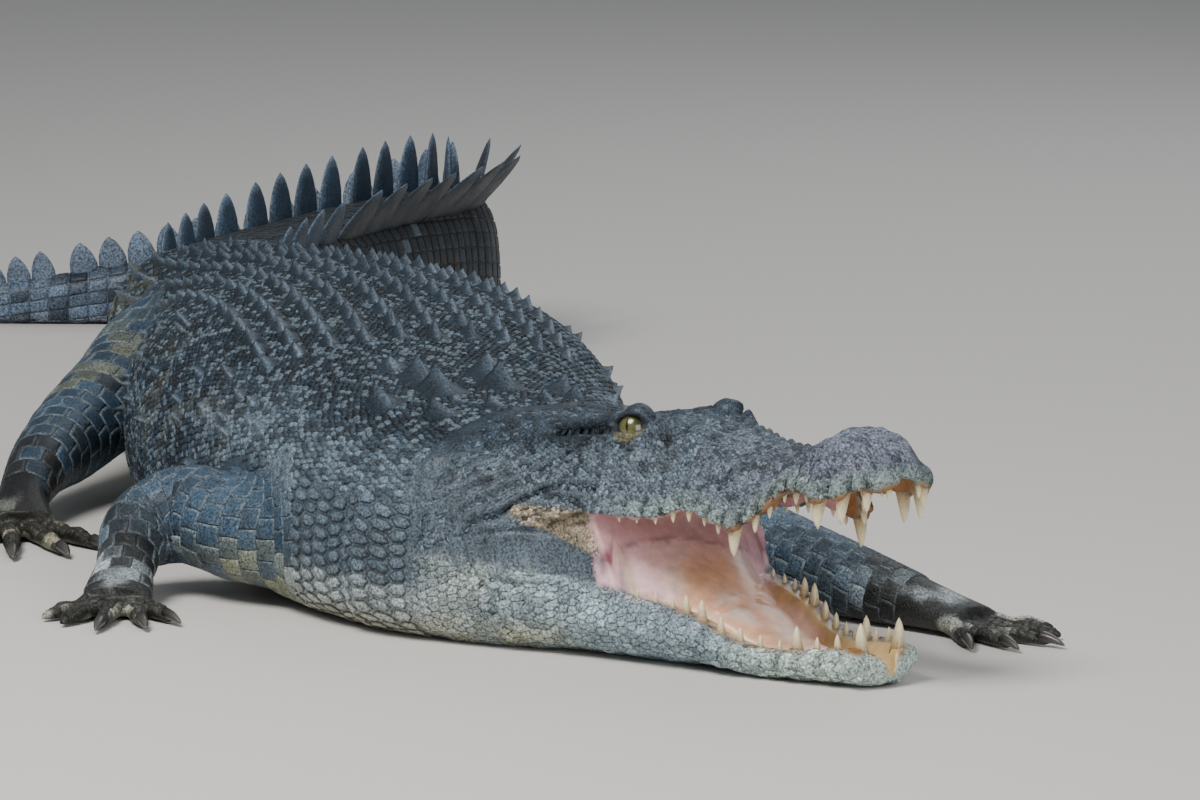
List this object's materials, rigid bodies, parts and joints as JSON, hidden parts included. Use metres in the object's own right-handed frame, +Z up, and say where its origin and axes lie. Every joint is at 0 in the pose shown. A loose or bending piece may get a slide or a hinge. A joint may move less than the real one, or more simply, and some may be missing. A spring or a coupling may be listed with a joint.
{
  "type": "saltwater crocodile model",
  "caption": "Still, life-size saltwater crocodile lying on its belly, jaws agape, legs splayed, with the crested tail swung back in a tight bend.",
  "frame": {"origin": "on the floor, under the middle of the belly", "axes": "+Z up; the trunk points along -Y and a little towards +X; the snout points between +X and -Y; the tail trails along +Y and its end swings towards -X"},
  "size_m": [1.7158, 3.1393, 0.3203],
  "materials": {
    "skin": "dark slate scales, slightly damp",
    "skin_pale": "pale blue-grey scales of jaw, throat and belly",
    "scutes": "matte keeled bony scales",
    "mouth_lining": "wet pink and tan mouth lining",
    "eye": "wet eye with a slit pupil",
    "tooth": "stained ivory",
    "claw": "dark horn"
  },
  "bodies": {
    "root": {"head_upper": "skin", "lower_jaw": "skin_pale", "mouth_corner": "mouth_lining", "tongue": "mouth_lining", "eye_left": "eye", "eye_right": "eye", "neck": "skin", "trunk_front": "skin", "trunk_rear": "skin", "tail_1": "skin", "tail_2": "skin", "tail_3": "skin", "tail_4": "skin", "tail_5": "skin", "tail_6": "skin", "arm_left_upper": "skin", "arm_left_fore": "skin", "arm_left_hand": "skin", "leg_left_thigh": "skin", "leg_left_shank": "skin", "leg_left_foot": "skin", "arm_right_upper": "skin", "arm_right_fore": "skin", "arm_right_hand": "skin", "leg_right_thigh": "skin", "leg_right_shank": "skin", "leg_right_foot": "skin"}
  },
  "joints": []
}
